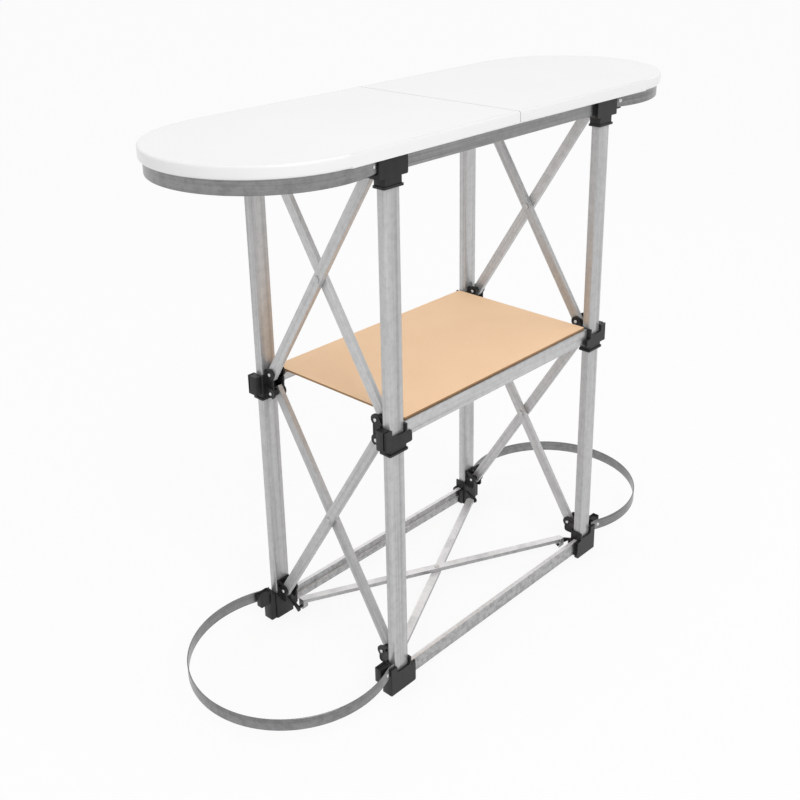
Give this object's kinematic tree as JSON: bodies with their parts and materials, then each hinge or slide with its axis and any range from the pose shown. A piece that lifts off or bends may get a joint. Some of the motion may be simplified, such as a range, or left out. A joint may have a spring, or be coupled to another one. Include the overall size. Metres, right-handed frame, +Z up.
{
  "type": "folding portable bar",
  "caption": "Stadium-shaped bar counter on front and back ladder frames joined by scissor braces at the ends, with a shelf, floor brace and bent end bands; the frame folds flat.",
  "frame": {"origin": "on the floor, under the middle of the bar", "axes": "+X along the bar, +Y from front to back, +Z up"},
  "size_m": [1.216, 0.398, 1.042],
  "materials": {
    "frame": "satin anodised",
    "band": "satin anodised strip",
    "connector": "moulded black nylon",
    "pin": "bright zinc plate",
    "worktop": "white laminate on board",
    "shelf": "pale tan faced board"
  },
  "bodies": {
    "front_base": {"front_left_bottom_connector": "connector", "front_left_bottom_pin": "pin", "front_right_bottom_connector": "connector", "front_right_bottom_pin": "pin", "front_bottom_rail": "frame", "front_left_lower_post": "frame", "front_right_lower_post": "frame", "left_lower_band": "band", "right_lower_band": "band"},
    "back_base": {"back_left_bottom_connector": "connector", "back_left_bottom_pin": "pin", "back_right_bottom_connector": "connector", "back_right_bottom_pin": "pin", "back_bottom_rail": "frame", "back_left_lower_post": "frame", "back_right_lower_post": "frame"},
    "front_mid": {"front_left_mid_connector": "connector", "front_left_mid_lower_pin": "pin", "front_left_mid_upper_pin": "pin", "front_right_mid_connector": "connector", "front_right_mid_lower_pin": "pin", "front_right_mid_upper_pin": "pin", "front_mid_rail": "frame", "front_left_upper_post": "frame", "front_right_upper_post": "frame"},
    "back_mid": {"back_left_mid_connector": "connector", "back_left_mid_lower_pin": "pin", "back_left_mid_upper_pin": "pin", "back_right_mid_connector": "connector", "back_right_mid_lower_pin": "pin", "back_right_mid_upper_pin": "pin", "back_mid_rail": "frame", "back_left_upper_post": "frame", "back_right_upper_post": "frame"},
    "front_top": {"front_left_top_connector": "connector", "front_left_top_pin": "pin", "front_right_top_connector": "connector", "front_right_top_pin": "pin", "front_top_rail": "frame", "left_upper_band": "band", "right_upper_band": "band"},
    "back_top": {"back_left_top_connector": "connector", "back_left_top_pin": "pin", "back_right_top_connector": "connector", "back_right_top_pin": "pin", "back_top_rail": "frame"},
    "floor_brace": {"lower_floor_bar": "frame", "upper_floor_bar": "frame", "floor_brace_rivet": "pin"},
    "shelf": {"shelf": "shelf"},
    "left_worktop": {"left_worktop": "worktop"},
    "right_worktop": {"right_worktop": "worktop"},
    "left_lower_inner_brace": {"left_lower_inner_brace": "frame"},
    "left_lower_outer_brace": {"left_lower_outer_brace": "frame"},
    "left_upper_inner_brace": {"left_upper_inner_brace": "frame"},
    "left_upper_outer_brace": {"left_upper_outer_brace": "frame"},
    "right_lower_inner_brace": {"right_lower_inner_brace": "frame"},
    "right_lower_outer_brace": {"right_lower_outer_brace": "frame"},
    "right_upper_inner_brace": {"right_upper_inner_brace": "frame"},
    "right_upper_outer_brace": {"right_upper_outer_brace": "frame"}
  },
  "joints": [
    {"name": "frame_fold", "type": "hinge", "parent": "front_base", "child": "left_lower_inner_brace", "pos_m": [-0.297, -0.139, 0.07], "axis": [1, 0, 0], "range_deg": [0, 28], "deforming": ["left_lower_band", "right_lower_band", "left_upper_band", "right_upper_band"]},
    {"name": "right_lower_inner_pivot", "type": "hinge", "parent": "front_base", "child": "right_lower_inner_brace", "pos_m": [0.297, -0.139, 0.07], "axis": [1, 0, 0], "range_deg": [0, 28]},
    {"name": "left_lower_cross", "type": "hinge", "parent": "left_lower_inner_brace", "child": "left_lower_outer_brace", "pos_m": [-0.297, 0, 0.2915], "axis": [1, 0, 0], "range_deg": [-56, 0]},
    {"name": "right_lower_cross", "type": "hinge", "parent": "right_lower_inner_brace", "child": "right_lower_outer_brace", "pos_m": [0.297, 0, 0.2915], "axis": [1, 0, 0], "range_deg": [-56, 0]},
    {"name": "back_base_pivot", "type": "hinge", "parent": "left_lower_outer_brace", "child": "back_base", "pos_m": [-0.297, 0.139, 0.07], "axis": [1, 0, 0], "range_deg": [0, 28]},
    {"name": "front_mid_pivot", "type": "hinge", "parent": "left_lower_outer_brace", "child": "front_mid", "pos_m": [-0.297, -0.139, 0.513], "axis": [1, 0, 0], "range_deg": [0, 28]},
    {"name": "back_mid_pivot", "type": "hinge", "parent": "left_lower_inner_brace", "child": "back_mid", "pos_m": [-0.297, 0.139, 0.513], "axis": [1, 0, 0], "range_deg": [-28, 0]},
    {"name": "left_upper_inner_pivot", "type": "hinge", "parent": "front_mid", "child": "left_upper_inner_brace", "pos_m": [-0.297, -0.139, 0.552], "axis": [1, 0, 0], "range_deg": [0, 28]},
    {"name": "right_upper_inner_pivot", "type": "hinge", "parent": "front_mid", "child": "right_upper_inner_brace", "pos_m": [0.297, -0.139, 0.552], "axis": [1, 0, 0], "range_deg": [0, 28]},
    {"name": "left_upper_cross", "type": "hinge", "parent": "left_upper_inner_brace", "child": "left_upper_outer_brace", "pos_m": [-0.297, 0, 0.7735], "axis": [1, 0, 0], "range_deg": [-56, 0]},
    {"name": "right_upper_cross", "type": "hinge", "parent": "right_upper_inner_brace", "child": "right_upper_outer_brace", "pos_m": [0.297, 0, 0.7735], "axis": [1, 0, 0], "range_deg": [-56, 0]},
    {"name": "back_top_pivot", "type": "hinge", "parent": "left_upper_inner_brace", "child": "back_top", "pos_m": [-0.297, 0.139, 0.995], "axis": [1, 0, 0], "range_deg": [-28, 0]},
    {"name": "front_top_pivot", "type": "hinge", "parent": "left_upper_outer_brace", "child": "front_top", "pos_m": [-0.297, -0.139, 0.995], "axis": [1, 0, 0], "range_deg": [0, 28]},
    {"name": "floor_brace_flip", "type": "hinge", "parent": "back_base", "child": "floor_brace", "pos_m": [0, 0.131, 0.017], "axis": [1, 0, 0], "range_deg": [-88, 0]},
    {"name": "shelf_lift", "type": "slide", "parent": "front_mid", "child": "shelf", "axis": [0, 0, 1], "range_m": [0, 0.25]},
    {"name": "left_worktop_lift", "type": "slide", "parent": "front_top", "child": "left_worktop", "axis": [0, 0, 1], "range_m": [0, 0.2]},
    {"name": "right_worktop_lift", "type": "slide", "parent": "front_top", "child": "right_worktop", "axis": [0, 0, 1], "range_m": [0, 0.2]}
  ],
  "couplings": [
    {"joint": "right_lower_inner_pivot", "follows": "frame_fold", "ratio": 1},
    {"joint": "left_lower_cross", "follows": "frame_fold", "ratio": -2},
    {"joint": "right_lower_cross", "follows": "frame_fold", "ratio": -2},
    {"joint": "back_base_pivot", "follows": "frame_fold", "ratio": 1},
    {"joint": "front_mid_pivot", "follows": "frame_fold", "ratio": 1},
    {"joint": "back_mid_pivot", "follows": "frame_fold", "ratio": -1},
    {"joint": "left_upper_inner_pivot", "follows": "frame_fold", "ratio": 1},
    {"joint": "right_upper_inner_pivot", "follows": "frame_fold", "ratio": 1},
    {"joint": "left_upper_cross", "follows": "frame_fold", "ratio": -2},
    {"joint": "right_upper_cross", "follows": "frame_fold", "ratio": -2},
    {"joint": "back_top_pivot", "follows": "frame_fold", "ratio": -1},
    {"joint": "front_top_pivot", "follows": "frame_fold", "ratio": 1},
    {"joint": "floor_brace_flip", "follows": "frame_fold", "ratio": -3.14}
  ]
}
